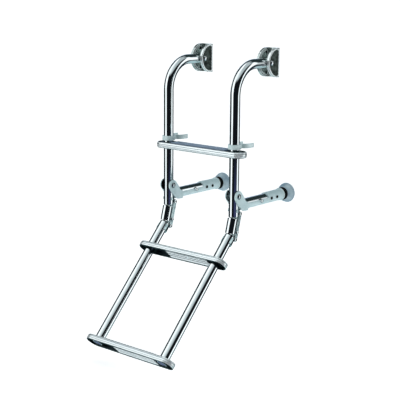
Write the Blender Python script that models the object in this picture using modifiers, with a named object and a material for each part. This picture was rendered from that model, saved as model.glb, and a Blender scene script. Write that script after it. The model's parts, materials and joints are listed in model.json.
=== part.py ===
"""Folding boat boarding ladder with three steps, two swing-up standoff arms and two pivoting hull mounts.

Frame: +X runs along the rungs, +Y points at the hull and +Z points up. The origin lies on the hull plane,
midway between the two mounts and level with their pivot bolts. Units are metres.
"""
import math

import bmesh
import bpy
from mathutils import Matrix, Vector

# Tubes
TUBE_R = 0.011
TUBE_WALL = 0.0015
TUBE_SIDES = 20
SMALL_SIDES = 16
HALF_SPACING = 0.096
FIT_GAP = 0.0003
PLUG_R = 0.0091

# Uprights: a vertical run, one bend and a short run into the mounts
UPRIGHT_Y = -0.134
BEND_R = 0.066
BEND_POINTS = 10
MOUNT_PIVOT_Y = -0.024
UPRIGHT_TOP_END_Y = -0.013
UPRIGHT_FOOT_Z = -0.3285

# Hull mounts
CHEEK_R = 0.0325
CHEEK_ROUND_Y = -0.0065
CHEEK_INNER_X = 0.0116
CHEEK_THICK = 0.0024
RIM_WIDTH = 0.0055
RIM_RAISE = 0.003
BASE_THICK = 0.003
MOUNT_BOLT_R = 0.004
MOUNT_SCREW_Z = 0.024
MOUNT_SCREW_HOLE_R = 0.0033
CHEEK_HOLE_R = 0.0024
CHEEK_HOLE_Y = -0.009
CHEEK_HOLE_Z = 0.022

# Double hinge
PIN_BEHIND = 0.0170
PIN_R = 0.0025
KNUCKLE_R = 0.0050
LUG_HALF = 0.0026
EAR_INNER_X = 0.0029
EAR_OUTER_X = 0.006
UPPER_PIN = Vector((0, UPRIGHT_Y + PIN_BEHIND, -0.326))
LINK_PITCH = 0.058
LINK_LEAN = math.radians(15.5)
LOWER_LEAN = math.radians(43.4)
LINK_TUBE_TOP = -0.013
LINK_TUBE_FOOT = 0.0116 - LINK_PITCH
LOWER_TUBE_TOP = -0.004
LOWER_TUBE_FOOT = -0.3235
DOME_RISE = 0.005
SADDLE_WALL = 0.0023
UPPER_SADDLE_REACH = 0.0125
LOWER_SADDLE_REACH = 0.021
RIVET_SHARE = 0.72

# Steps
STEP_HALF_LENGTH = 0.125
STEP_END_R = 0.020
STEP_HEIGHT = 0.013
STEP_WALL = 0.003
STEP_PLATE_TOP = 0.0055
STEP_PLATE_THICK = 0.002
TREAD_HALF_LENGTH = 0.0780
TREAD_FOOT_START_X = -0.0400
TREAD_HALF_DEPTH = 0.0164
TREAD_TOP_HALF_DEPTH = 0.0127
TREAD_TOP = 0.0085
TREAD_FOOT = -0.0046
TREAD_TOP_RIBS = 6
TREAD_FOOT_RIBS = 4
TREAD_GROOVE = 0.001
TOP_STEP_Z = -0.191
MIDDLE_STEP_DROP = 0.0722
BOTTOM_STEP_DROP = 0.3195

# Standoff arms
ARM_PIVOT_Z = -0.284
ARM_DROP = 0.022
ARM_OUTER_R = 0.013
ARM_START_Y = 0.020
WINDOW_START_Y = 0.024
SLEEVE_START_Y = 0.112
SLEEVE_END_Y = 0.172
TROUGH_RISE = 0.0026
EAR_R = 0.0125
ARM_EAR_INNER_X = 0.0114
ARM_EAR_THICK = 0.0032
ARM_BOLT_R = 0.0029
ARM_BOLT_HOLE_R = 0.0034
ARM_HOLES_Y = (0.122, 0.143)
ARM_HOLE_R = 0.0028
ADJUST_PIN_Y = 0.082
ADJUST_PIN_R = 0.0018
EXTENSION_START_Y = 0.0265
EXTENSION_END_Y = 0.1745
FOOT_BALL_Y = 0.187
FOOT_BALL_R = 0.005
FOOT_R = 0.0228
FOOT_CROWN = -0.0075
FOOT_BACK = 0.0130

# Arm clips
CLIP_Z = -0.175
CLIP_HEIGHT = 0.010
CLIP_RING_R = 0.0145
CLIP_JAW_Y = 0.0359
CLIP_JAW_R = 0.0136
CLIP_JAW_WALL = 0.0025
CLIP_JAW_END_Y = 0.0485

SIDES = (("left", -HALF_SPACING), ("right", HALF_SPACING))
LENGTHWISE = Matrix(((0, 0, 1, 0), (1, 0, 0, 0), (0, 1, 0, 0), (0, 0, 0, 1)))


# ---------------------------------------------------------------- scene helpers

def clear_scene():
    for item in list(bpy.data.objects):
        bpy.data.objects.remove(item, do_unlink=True)
    for group in list(bpy.data.collections):
        bpy.data.collections.remove(group)


def new_collection(name):
    group = bpy.data.collections.new(name)
    bpy.context.scene.collection.children.link(group)
    return group


def new_material(name, colour, roughness, metallic):
    material = bpy.data.materials.new(name)
    material.use_nodes = True
    shader = material.node_tree.nodes["Principled BSDF"]
    shader.inputs["Base Color"].default_value = (*colour, 1)
    shader.inputs["Roughness"].default_value = roughness
    shader.inputs["Metallic"].default_value = metallic
    return material


clear_scene()
LADDER = new_collection("boarding_ladder")
CUTTERS = new_collection("cutters")
STEEL = ("polished_steel", (0.80, 0.81, 0.82), 0.08, 1.0)
GREY = ("grey_plastic", (0.52, 0.58, 0.60), 0.45, 0.0)
PALE = ("pale_plastic", (0.70, 0.76, 0.78), 0.50, 0.0)
BLUE = ("blue_grey_rubber", (0.30, 0.38, 0.46), 0.55, 0.0)
DARK = ("dark_plug", (0.05, 0.06, 0.12), 0.40, 0.0)


def empty(name, location, lean=0.0, parent=None):
    """A joint marker: its origin is on the axis and its local -Z runs down the parts it carries."""
    marker = bpy.data.objects.new(name, None)
    marker.empty_display_size = 0.02
    LADDER.objects.link(marker)
    marker.parent = parent
    marker.location = location
    marker.rotation_euler = (-lean, 0, 0)
    return marker


def part(name, mesh, finish, parent=None, at=(0, 0, 0), turn=(0, 0, 0)):
    body = bpy.data.objects.new(name, mesh)
    LADDER.objects.link(body)
    body.data.materials.append(new_material(name + "_" + finish[0], *finish[1:]))
    body.parent = parent
    body.location = at
    body.rotation_euler = turn
    return body


def tool(mesh, parent=None, at=(0, 0, 0), turn=(0, 0, 0)):
    """A solid that only cuts or joins another."""
    shape = bpy.data.objects.new("tool", mesh)
    CUTTERS.objects.link(shape)
    shape.parent = parent
    shape.location = at
    shape.rotation_euler = turn
    shape.display_type = "WIRE"
    shape.hide_render = True
    return shape


def join(body, other):
    modifier = body.modifiers.new("join", "BOOLEAN")
    modifier.operation = "UNION"
    modifier.object = other


def cut(body, other, solver="EXACT"):
    modifier = body.modifiers.new("cut", "BOOLEAN")
    modifier.operation = "DIFFERENCE"
    modifier.object = other
    modifier.solver = solver


# ---------------------------------------------------------------- mesh helpers

AXIS_TURN = {"X": Matrix.Rotation(math.pi / 2, 4, "Y"), "Y": Matrix.Rotation(-math.pi / 2, 4, "X"),
             "Z": Matrix.Identity(4)}


def mesh_from(work, name):
    mesh = bpy.data.meshes.new(name)
    work.to_mesh(mesh)
    work.free()
    mesh.shade_smooth()
    mesh.set_sharp_from_angle(angle=math.radians(35))
    return mesh


def rod(radius, start, end, axis="Z", centre=(0, 0, 0), sides=TUBE_SIDES):
    """A solid cylinder along one axis, from start to end on that axis."""
    work = bmesh.new()
    along = {"X": Vector((1, 0, 0)), "Y": Vector((0, 1, 0)), "Z": Vector((0, 0, 1))}[axis]
    middle = Matrix.Translation(Vector(centre) + along * (start + end) / 2)
    bmesh.ops.create_cone(work, cap_ends=True, segments=sides, radius1=radius, radius2=radius,
                          depth=abs(end - start), matrix=middle @ AXIS_TURN[axis])
    return mesh_from(work, "rod")


def block(low, high):
    """A box between two corners."""
    work = bmesh.new()
    low, high = Vector(low), Vector(high)
    size = Matrix.Diagonal((*(high - low), 1))
    bmesh.ops.create_cube(work, size=1, matrix=Matrix.Translation((low + high) / 2) @ size)
    return mesh_from(work, "block")


def curve_mesh(curve):
    """The closed mesh of a curve, with its caps welded to its sides."""
    holder = bpy.data.objects.new("curve", curve)
    CUTTERS.objects.link(holder)
    view = bpy.context.evaluated_depsgraph_get()
    mesh = bpy.data.meshes.new_from_object(holder.evaluated_get(view))
    bpy.data.objects.remove(holder)
    work = bmesh.new()
    work.from_mesh(mesh)
    bmesh.ops.remove_doubles(work, verts=work.verts, dist=0.00001)
    bmesh.ops.dissolve_limit(work, angle_limit=0.001, verts=work.verts, edges=work.edges)
    return mesh_from(work, "outline")


def poly_curve(points, dimensions):
    curve = bpy.data.curves.new("path", "CURVE")
    curve.dimensions = dimensions
    spline = curve.splines.new("POLY")
    spline.points.add(len(points) - 1)
    for knot, point in zip(spline.points, points):
        knot.co = (*point, 1) if len(point) == 3 else (*point, 0, 1)
    return curve


def slab(outline, low, high, lengthwise=False):
    """A flat outline extruded from low to high; lengthwise outlines lie in YZ and extrude along X."""
    curve = poly_curve(outline, "2D")
    curve.splines[0].use_cyclic_u = True
    curve.fill_mode = "BOTH"
    curve.extrude = (high - low) / 2
    mesh = curve_mesh(curve)
    mesh.transform(Matrix.Translation((0, 0, (low + high) / 2)))
    if lengthwise:
        mesh.transform(LENGTHWISE)
    return mesh


def arc(centre, radius, start, end, steps):
    """Points on an arc, from the start angle to the end angle in degrees."""
    angles = [math.radians(start + (end - start) * i / steps) for i in range(steps + 1)]
    return [(centre[0] + radius * math.cos(a), centre[1] + radius * math.sin(a)) for a in angles]


def obround(half_length, radius, steps=8):
    straight = half_length - radius
    return arc((straight, 0), radius, -90, 90, steps) + arc((-straight, 0), radius, 90, 270, steps)


def turned(name, profile, finish, parent, at=(0, 0, 0), turn=(0, 0, 0), sides=TUBE_SIDES):
    """A solid of revolution about its own Z, from a profile of (radius, height) run top to bottom."""
    work = bmesh.new()
    corners = [work.verts.new((r, 0, z)) for r, z in profile]
    for first, second in zip(corners, corners[1:]):
        work.edges.new((first, second))
    body = part(name, mesh_from(work, name), finish, parent, at, turn)
    screw = body.modifiers.new("turn", "SCREW")
    screw.steps = screw.render_steps = sides
    screw.use_merge_vertices = True
    screw.merge_threshold = 0.00001
    screw.use_smooth_shade = True
    return body


def pipe(name, start, end, finish, parent, at):
    """A straight open tube along Z."""
    body = part(name, rod(TUBE_R, start, end), finish, parent, at)
    cut(body, tool(rod(TUBE_R - TUBE_WALL, start - 0.01, end + 0.01), parent, at))
    return body


# ---------------------------------------------------------------- hull mounts

def cheek_outline(inset=0.0):
    """The D-shaped side of a mount, flat along the hull plane."""
    radius = CHEEK_R - inset
    return [(-inset, radius)] + arc((CHEEK_ROUND_Y, 0), radius, 90, 270, 16) + [(-inset, -radius)]


def hull_mount(side, x):
    outer_x = CHEEK_INNER_X + CHEEK_THICK
    rim_x = outer_x + RIM_RAISE
    bracket = part("mount_bracket_" + side, slab(cheek_outline(), -rim_x, rim_x, True), STEEL, at=(x, 0, 0))
    cut(bracket, tool(block((-CHEEK_INNER_X, -0.1, -0.05), (CHEEK_INNER_X, -BASE_THICK, 0.05)), at=(x, 0, 0)))
    for sign in (-1, 1):
        low, high = sorted((sign * outer_x, sign * (rim_x + 0.005)))
        cut(bracket, tool(slab(cheek_outline(RIM_WIDTH), low, high, True), at=(x, 0, 0)))
        low, high = sorted((sign * 0.005, sign * (outer_x + 0.001)))
        for z in (-CHEEK_HOLE_Z, CHEEK_HOLE_Z):
            hole = rod(CHEEK_HOLE_R, low, high, "X", (0, CHEEK_HOLE_Y, z), SMALL_SIDES)
            cut(bracket, tool(hole, at=(x, 0, 0)))
    cut(bracket, tool(rod(MOUNT_BOLT_R + 0.0002, -0.03, 0.03, "X", (0, MOUNT_PIVOT_Y, 0)), at=(x, 0, 0)))
    for z in (-MOUNT_SCREW_Z, MOUNT_SCREW_Z):
        cut(bracket, tool(rod(MOUNT_SCREW_HOLE_R, -0.01, 0.01, "Y", (0, 0, z), SMALL_SIDES), at=(x, 0, 0)))

    shank_end = -(outer_x + 0.0085)
    head = outer_x + FIT_GAP
    turned("pivot_bolt_" + side,
           [(0, head + 0.0035), (0.0045, head + 0.003), (0.0065, head + 0.0015), (0.0065, head),
            (MOUNT_BOLT_R - 0.0001, head), (MOUNT_BOLT_R - 0.0001, shank_end), (0, shank_end)],
           STEEL, None, (x, MOUNT_PIVOT_Y, 0), (0, math.pi / 2, 0))
    nut = part("pivot_nut_" + side, rod(0.0072, -(head + 0.0058), -head, "X", sides=6), STEEL,
               at=(x, MOUNT_PIVOT_Y, 0))
    cut(nut, tool(rod(MOUNT_BOLT_R + 0.0003, -0.03, -0.005, "X"), at=(x, MOUNT_PIVOT_Y, 0)))


# ---------------------------------------------------------------- upper frame

def upright_path():
    """Centre line of an upright in its own plane, from its foot to its end in the mount."""
    centre_y, centre_z = UPRIGHT_Y + BEND_R, -BEND_R
    points = [(0, UPRIGHT_Y, UPRIGHT_FOOT_Z)]
    for step in range(BEND_POINTS):
        angle = math.pi - math.pi / 2 * step / (BEND_POINTS - 1)
        points.append((0, centre_y + BEND_R * math.cos(angle), centre_z + BEND_R * math.sin(angle)))
    points.append((0, UPRIGHT_TOP_END_Y, 0))
    return points


def upright(side, x, frame):
    offset = Vector((x, -MOUNT_PIVOT_Y, 0))
    curve = poly_curve(upright_path(), "3D")
    curve.bevel_depth = TUBE_R
    curve.bevel_resolution = (TUBE_SIDES - 4) // 2
    body = part("upright_" + side, curve_mesh(curve), STEEL, frame, offset)
    wall = body.modifiers.new("wall", "SOLIDIFY")
    wall.thickness = TUBE_WALL
    wall.offset = -1
    bolts = ((MOUNT_PIVOT_Y, 0, MOUNT_BOLT_R + 0.0004), (UPRIGHT_Y, ARM_PIVOT_Z, ARM_BOLT_HOLE_R))
    for y, z, radius in bolts:
        cut(body, tool(rod(radius, -0.02, 0.02, "X", (0, y, z), SMALL_SIDES), frame, offset))

    turned("upright_cap_" + side,
           [(0, 0.0035), (0.0060, 0.0028), (0.0095, 0.0012), (TUBE_R, FIT_GAP),
            (PLUG_R, FIT_GAP), (PLUG_R, -0.005), (0, -0.005)],
           STEEL, frame, (x, UPRIGHT_TOP_END_Y - MOUNT_PIVOT_Y, 0), (-math.pi / 2, 0, 0))
    dome("upright_end_" + side, frame, (x, UPRIGHT_Y - MOUNT_PIVOT_Y, UPRIGHT_FOOT_Z), math.pi)
    pin = (x, UPPER_PIN.y - MOUNT_PIVOT_Y, UPPER_PIN.z)
    saddle("upper_saddle_" + side, frame, pin, 1, UPPER_SADDLE_REACH)


def dome(name, parent, at, flip):
    """A domed plug that closes a tube at a hinge."""
    rise = [(TUBE_R * math.sin(math.radians(a)), FIT_GAP + DOME_RISE * math.cos(math.radians(a)))
            for a in range(0, 91, 18)]
    rise[0] = (0, FIT_GAP + DOME_RISE)
    turned(name, rise + [(PLUG_R, FIT_GAP), (PLUG_R, -0.010), (0, -0.010)], STEEL, parent, at, (flip, 0, 0))


def saddle(name, parent, pin, up, reach):
    """A plate wrapped round the back of a tube, with the middle lug of a hinge reaching to its pin."""
    inner = TUBE_R + FIT_GAP
    low, high = sorted((up * 0.0068, up * reach))
    axis = (0, -PIN_BEHIND, 0)
    tip = reach - 0.001
    body = part(name, rod(inner + SADDLE_WALL, low, high, "Z", axis), STEEL, parent, pin)
    lug = arc((0, 0), KNUCKLE_R, -90, 90, 10) + [(0.001, tip), (-0.006, tip), (-0.006, 0.0075),
                                                (-KNUCKLE_R * 0.75, 0.004)]
    lug = [(y, up * z) for y, z in lug]
    join(body, tool(slab(lug if up > 0 else lug[::-1], -LUG_HALF, LUG_HALF, True), parent, pin))
    cut(body, tool(rod(inner, -0.04, 0.04, "Z", axis), parent, pin))
    cut(body, tool(block((-0.03, -PIN_BEHIND - 0.03, -0.03), (0.03, -PIN_BEHIND - 0.004, 0.03)), parent, pin))
    cut(body, tool(rod(PIN_R + 0.0002, -0.01, 0.01, "X", sides=SMALL_SIDES), parent, pin))


def arm_clip(side, x, frame):
    """A ring round the upright with a U-shaped jaw that holds the folded arm."""
    at = (x, UPRIGHT_Y - MOUNT_PIVOT_Y, CLIP_Z)
    half = CLIP_HEIGHT / 2
    jaw_outer = CLIP_JAW_R + CLIP_JAW_WALL
    body = part("arm_clip_" + side, rod(CLIP_RING_R, -half, half), PALE, frame, at)
    join(body, tool(block((-0.0055, 0.006, -half), (0.0055, CLIP_JAW_Y - CLIP_JAW_R, half)), frame, at))
    outline = arc((0, CLIP_JAW_Y), jaw_outer, 180, 360, 16) + [(jaw_outer, CLIP_JAW_END_Y)]
    outline += [(CLIP_JAW_R + 0.0008, CLIP_JAW_END_Y)] + arc((0, CLIP_JAW_Y), CLIP_JAW_R, 0, -180, 16)
    outline += [(-CLIP_JAW_R - 0.0008, CLIP_JAW_END_Y), (-jaw_outer, CLIP_JAW_END_Y)]
    join(body, tool(slab(outline, -half, half), frame, at))
    cut(body, tool(rod(TUBE_R + FIT_GAP, -0.02, 0.02), frame, at))


# ---------------------------------------------------------------- steps

def ribs(half, level, inward, count):
    """The ribbed edge of a tread's section, from one side to the other, as (y, z) points."""
    points = []
    pitch = 2 * half / count
    for rib in range(count):
        start = -half + pitch * rib
        last = rib == count - 1
        points += [(start, level), (half if last else start + pitch * 0.6, level)]
        if not last:
            groove = level + inward * TREAD_GROOVE
            points += [(start + pitch * 0.68, groove), (start + pitch * 0.94, groove)]
    return points


def tread(name, parent, at):
    """A ribbed top that fills the window in the step plate, with a shorter, wider ribbed foot under it."""
    shoulder = STEP_PLATE_TOP - STEP_PLATE_THICK - FIT_GAP
    section = ribs(TREAD_HALF_DEPTH, TREAD_FOOT, 1, TREAD_FOOT_RIBS)
    section += [(TREAD_HALF_DEPTH, shoulder), (TREAD_TOP_HALF_DEPTH, shoulder)]
    section += [(-y, z) for y, z in ribs(TREAD_TOP_HALF_DEPTH, TREAD_TOP, -1, TREAD_TOP_RIBS)]
    section += [(-TREAD_TOP_HALF_DEPTH, shoulder), (-TREAD_HALF_DEPTH, shoulder)]
    body = part("step_tread_" + name, slab(section, -TREAD_HALF_LENGTH, TREAD_HALF_LENGTH, True), PALE,
                parent, at)
    short = block((-TREAD_HALF_LENGTH - 0.01, -0.03, -0.02), (TREAD_FOOT_START_X, 0.03, shoulder + 0.0005))
    cut(body, tool(short, parent, at), "MANIFOLD")
    screw_x = (TREAD_FOOT_START_X + TREAD_HALF_LENGTH) / 2
    recess = rod(0.0042, TREAD_FOOT - 0.01, TREAD_FOOT + 0.003, "Z", (screw_x, 0, 0), SMALL_SIDES)
    cut(body, tool(recess, parent, at), "MANIFOLD")
    turned("tread_screw_" + name,
           [(0, TREAD_FOOT + 0.0027), (0.0036, TREAD_FOOT + 0.0027), (0.0036, TREAD_FOOT + 0.001),
            (0.0024, TREAD_FOOT + 0.0002), (0, TREAD_FOOT)],
           STEEL, parent, Vector(at) + Vector((screw_x, 0, 0)), sides=SMALL_SIDES)


def step(name, parent, at):
    """A pressed steel step with rounded ends, a plate inside it and a ribbed plastic tread."""
    half = STEP_HEIGHT / 2
    plate_foot = STEP_PLATE_TOP - STEP_PLATE_THICK
    inner_half, inner_r = STEP_HALF_LENGTH - STEP_WALL, STEP_END_R - STEP_WALL
    shell = slab(obround(STEP_HALF_LENGTH, STEP_END_R), -half, half)
    pan = part("step_pan_" + name, shell, STEEL, parent, at)
    cut(pan, tool(slab(obround(inner_half, inner_r), -half - 0.005, plate_foot), parent, at))
    cut(pan, tool(slab(obround(inner_half, inner_r), STEP_PLATE_TOP, half + 0.005), parent, at))
    for _, x in SIDES:
        cut(pan, tool(rod(TUBE_R + FIT_GAP, -0.03, 0.03, "Z", (x, 0, 0)), parent, at))
    window = (TREAD_HALF_LENGTH + FIT_GAP, TREAD_TOP_HALF_DEPTH + FIT_GAP)
    cut(pan, tool(block((-window[0], -window[1], 0), (window[0], window[1], 0.01)), parent, at))
    tread(name, parent, at)


# ---------------------------------------------------------------- hinge links

def link(side, x, links):
    """The short middle tube of the double hinge and the channel on its back that carries both pins."""
    axis_y = -PIN_BEHIND
    pipe("link_tube_" + side, LINK_TUBE_FOOT, LINK_TUBE_TOP, STEEL, links, (x, axis_y, 0))
    flat_y = axis_y + TUBE_R + FIT_GAP
    rise = (LINK_TUBE_TOP - 0.001, LINK_TUBE_FOOT + 0.001)
    plate = arc((0, 0), KNUCKLE_R, 0, 180, 10) + arc((0, -LINK_PITCH), KNUCKLE_R, 180, 360, 10)
    at = (x, 0, 0)
    bracket = part("link_bracket_" + side, slab(plate, EAR_INNER_X, EAR_OUTER_X, True), STEEL, links, at)
    join(bracket, tool(slab(plate, -EAR_OUTER_X, -EAR_INNER_X, True), links, at))
    join(bracket, tool(block((-0.0055, flat_y, rise[1]), (0.0055, flat_y + 0.0025, rise[0])), links, at))
    for z in (0, -LINK_PITCH):
        cut(bracket, tool(rod(PIN_R + 0.0002, -0.01, 0.01, "X", (0, 0, z), SMALL_SIDES), links, at))
    turned("link_rivet_" + side,
           [(0, 0.0032), (0.0030, 0.0024), (0.0042, 0.0008), (0.0042, 0), (0, 0)],
           STEEL, links, (x + EAR_OUTER_X + FIT_GAP, 0, -LINK_PITCH * RIVET_SHARE),
           (0, math.pi / 2, 0), SMALL_SIDES)


def hinge_pin(name, parent, x, z):
    """A pin with a riveted head at each end."""
    head = EAR_OUTER_X + FIT_GAP
    tip = head + 0.0015
    turned(name,
           [(0, tip), (0.0036, tip - 0.0003), (0.0042, head), (PIN_R, head), (PIN_R, -head), (0.0042, -head),
            (0.0036, 0.0003 - tip), (0, -tip)],
           STEEL, parent, (x, 0, z), (0, math.pi / 2, 0), SMALL_SIDES)


# ---------------------------------------------------------------- lower section

def lower_side(side, x, lower):
    axis = (x, -PIN_BEHIND, 0)
    pipe("lower_tube_" + side, LOWER_TUBE_FOOT, LOWER_TUBE_TOP, STEEL, lower, axis)
    dome("lower_end_" + side, lower, (x, -PIN_BEHIND, LOWER_TUBE_TOP), 0)
    saddle("lower_saddle_" + side, lower, (x, 0, 0), -1, LOWER_SADDLE_REACH)
    turned("tube_plug_" + side,
           [(0, 0.012), (PLUG_R, 0.012), (PLUG_R, 0.001), (0.0085, 0.0002), (0, 0.0002)],
           DARK, lower, (x, -PIN_BEHIND, LOWER_TUBE_FOOT))


# ---------------------------------------------------------------- standoff arms

def ear_outline():
    """Side of the arm's fork: a round ear at the pivot that sweeps down into the trough."""
    return (arc((0, 0), EAR_R, 45, 212, 14)
            + [(0.001, -0.0205), (0.008, -0.0285), (0.016, -0.0340), (0.024, -0.0350),
               (0.034, -0.0350), (0.034, -0.0194), (0.0235, -0.0120), (0.0195, -0.0040)])


def arm(side, x, frame):
    pivot = empty("arm_pivot_" + side, (x, UPRIGHT_Y - MOUNT_PIVOT_Y, ARM_PIVOT_Z), parent=frame)
    axis = (0, 0, -ARM_DROP)
    body = part("arm_body_" + side, rod(ARM_OUTER_R, ARM_START_Y, SLEEVE_END_Y, "Y", axis), GREY, pivot)
    for sign in (-1, 1):
        low, high = sorted((sign * ARM_EAR_INNER_X, sign * (ARM_EAR_INNER_X + ARM_EAR_THICK)))
        join(body, tool(slab(ear_outline(), low, high, True), pivot))
    bore = TUBE_R + FIT_GAP
    cut(body, tool(rod(bore, WINDOW_START_Y, 0.3, "Y", axis), pivot))
    window_foot = TROUGH_RISE - ARM_DROP
    fork = ARM_EAR_INNER_X + 0.0001
    cut(body, tool(block((-fork, 0.0, window_foot), (fork, 0.035, 0.02)), pivot))
    cut(body, tool(block((-0.03, 0.035, window_foot), (0.03, SLEEVE_START_Y, 0.02)), pivot))
    for y in ARM_HOLES_Y:
        cut(body, tool(rod(ARM_HOLE_R, -0.02, 0.02, "X", (0, y, -ARM_DROP), SMALL_SIDES), pivot))
    pin_hole = rod(ADJUST_PIN_R + FIT_GAP, 0.005, 0.02, "X", (0, ADJUST_PIN_Y, -ARM_DROP), SMALL_SIDES)
    cut(body, tool(pin_hole, pivot))
    cut(body, tool(rod(ARM_BOLT_HOLE_R, -0.02, 0.02, "X", sides=SMALL_SIDES), pivot))

    outside = ARM_EAR_INNER_X + ARM_EAR_THICK
    head = outside + FIT_GAP
    at = (x, UPRIGHT_Y - MOUNT_PIVOT_Y, ARM_PIVOT_Z)
    turned("arm_bolt_" + side,
           [(0, head + 0.0026), (0.0030, head + 0.0022), (0.0048, head + 0.0008), (0.0048, head),
            (ARM_BOLT_R, head), (ARM_BOLT_R, -head - 0.0045), (0, -head - 0.0045)],
           STEEL, frame, at, (0, math.pi / 2, 0), SMALL_SIDES)
    nut = part("arm_nut_" + side, rod(0.0055, -head - 0.0038, -head, "X", sides=6), STEEL, frame, at)
    cut(nut, tool(rod(ARM_BOLT_R + FIT_GAP, -0.03, -0.005, "X", sides=SMALL_SIDES), frame, at))

    adjust = empty("adjust_pin_axis_" + side, (0, ADJUST_PIN_Y, -ARM_DROP), parent=pivot)
    turned("adjust_pin_" + side,
           [(0, 0.0178), (0.0030, 0.0174), (0.0040, 0.0165), (0.0040, 0.0136),
            (ADJUST_PIN_R, 0.0134), (ADJUST_PIN_R, bore + 0.0002), (0, bore + 0.0002)],
           STEEL, adjust, turn=(0, math.pi / 2, 0), sides=SMALL_SIDES)
    extension(side, pivot)


def extension(side, pivot):
    """The steel tube that slides in the arm, with the ball stud and the foot on its end."""
    slide = empty("extension_axis_" + side, (0, 0, -ARM_DROP), parent=pivot)
    tube = part("extension_tube_" + side, rod(TUBE_R, EXTENSION_START_Y, EXTENSION_END_Y, "Y"), STEEL, slide)
    cut(tube, tool(rod(TUBE_R - TUBE_WALL, EXTENSION_START_Y - 0.01, EXTENSION_END_Y + 0.01, "Y"), slide))
    ball = [(FOOT_BALL_R * math.sin(math.radians(a)), FOOT_BALL_R * math.cos(math.radians(a)))
            for a in range(0, 151, 30)]
    ball[0] = (0, FOOT_BALL_R)
    shoulder = EXTENSION_END_Y + FIT_GAP - FOOT_BALL_Y
    turned("foot_stud_" + side,
           ball + [(0.0025, shoulder + 0.003), (0.0085, shoulder + 0.002), (0.0108, shoulder),
                   (PLUG_R, shoulder), (PLUG_R, shoulder - 0.012), (0, shoulder - 0.012)],
           DARK, slide, (0, FOOT_BALL_Y, 0), (-math.pi / 2, 0, 0))
    tilt = empty("foot_axis_" + side, (0, FOOT_BALL_Y, 0), parent=slide)
    foot(side, tilt)


def foot(side, tilt):
    """A mushroom foot: a domed front with a socket for the ball, and a flat back."""
    front = [(0.0072, FOOT_CROWN + 0.0006)]
    for angle in range(20, 91, 14):
        a = math.radians(angle)
        front.append((0.0055 + (FOOT_R - 0.0055) * math.sin(a),
                      FOOT_BACK - 0.004 + (FOOT_CROWN - FOOT_BACK + 0.003) * math.cos(a)))
    socket = FOOT_BALL_R + FIT_GAP
    cup = [(socket * math.sin(math.radians(a)), socket * math.cos(math.radians(a)))
           for a in range(0, 136, 27)]
    cup[0] = (0, socket)
    outside = [(0, FOOT_BACK), (FOOT_R - 0.0015, FOOT_BACK), (FOOT_R, FOOT_BACK - 0.0015)] + front[::-1]
    profile = outside + [(0.0060, FOOT_CROWN)] + cup[::-1]
    turned("foot_" + side, profile, BLUE, tilt, turn=(-math.pi / 2, 0, 0), sides=24)


# ---------------------------------------------------------------- assembly

def build():
    frame = empty("mount_pivot", (0, MOUNT_PIVOT_Y, 0))
    upper_pin = empty("upper_hinge", UPPER_PIN - Vector((0, MOUNT_PIVOT_Y, 0)), LINK_LEAN, frame)
    lower_pin = empty("lower_hinge", (0, 0, -LINK_PITCH), LOWER_LEAN - LINK_LEAN, upper_pin)
    step("top", frame, (0, UPRIGHT_Y - MOUNT_PIVOT_Y, TOP_STEP_Z))
    for side, x in SIDES:
        hull_mount(side, x)
        upright(side, x, frame)
        arm_clip(side, x, frame)
        arm(side, x, frame)
        link(side, x, upper_pin)
        hinge_pin("upper_hinge_pin_" + side, upper_pin, x, 0)
        hinge_pin("lower_hinge_pin_" + side, upper_pin, x, -LINK_PITCH)
        lower_side(side, x, lower_pin)
    step("middle", lower_pin, (0, -PIN_BEHIND, -MIDDLE_STEP_DROP))
    step("bottom", lower_pin, (0, -PIN_BEHIND, -BOTTOM_STEP_DROP))


build()
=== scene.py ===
"""Looks for the folding boat boarding ladder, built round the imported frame. Units are metres."""
import json
import math

import bmesh
import bpy
from mathutils import Matrix, Vector


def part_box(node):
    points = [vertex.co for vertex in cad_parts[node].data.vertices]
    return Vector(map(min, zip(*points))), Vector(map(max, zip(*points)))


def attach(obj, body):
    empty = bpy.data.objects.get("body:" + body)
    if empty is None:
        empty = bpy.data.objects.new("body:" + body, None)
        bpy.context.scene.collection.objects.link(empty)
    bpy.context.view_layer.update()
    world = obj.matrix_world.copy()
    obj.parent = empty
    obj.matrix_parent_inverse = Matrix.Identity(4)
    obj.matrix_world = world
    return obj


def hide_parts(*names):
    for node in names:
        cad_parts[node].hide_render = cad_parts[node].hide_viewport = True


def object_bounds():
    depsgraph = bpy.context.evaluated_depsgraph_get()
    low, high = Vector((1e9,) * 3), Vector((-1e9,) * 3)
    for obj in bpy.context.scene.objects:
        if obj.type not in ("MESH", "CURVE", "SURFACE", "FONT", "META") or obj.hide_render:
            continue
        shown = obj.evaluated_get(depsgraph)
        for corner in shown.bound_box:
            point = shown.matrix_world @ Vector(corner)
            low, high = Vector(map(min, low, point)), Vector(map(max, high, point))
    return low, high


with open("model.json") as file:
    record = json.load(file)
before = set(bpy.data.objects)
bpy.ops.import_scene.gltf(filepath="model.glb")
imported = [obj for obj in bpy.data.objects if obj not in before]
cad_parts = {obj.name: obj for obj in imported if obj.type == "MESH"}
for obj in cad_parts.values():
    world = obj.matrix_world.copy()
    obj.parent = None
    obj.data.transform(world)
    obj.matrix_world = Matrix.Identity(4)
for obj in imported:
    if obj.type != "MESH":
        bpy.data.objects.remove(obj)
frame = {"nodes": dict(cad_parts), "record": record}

CAD_BOX = [list(corner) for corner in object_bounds()]
NODES = frame["nodes"]
RECORD = frame["record"]
BODY_OF = {node: body for body, nodes in RECORD["behaviour"]["bodies"].items() for node in nodes}

SIDES = (("left", -0.096), ("right", 0.096))
STEPS = ("top", "middle", "bottom")
FACES = ((-1, "in"), (1, "out"))
AXIS_X = Vector((1, 0, 0))
AXIS_Y = Vector((0, 1, 0))
AXIS_Z = Vector((0, 0, 1))

TUBE_R = 0.011
TUBE_WALL = 0.0015
FIT_GAP = 0.0003
ROUND = 72
MIDDLE_ROUND = 40
SMALL_ROUND = 32

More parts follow.
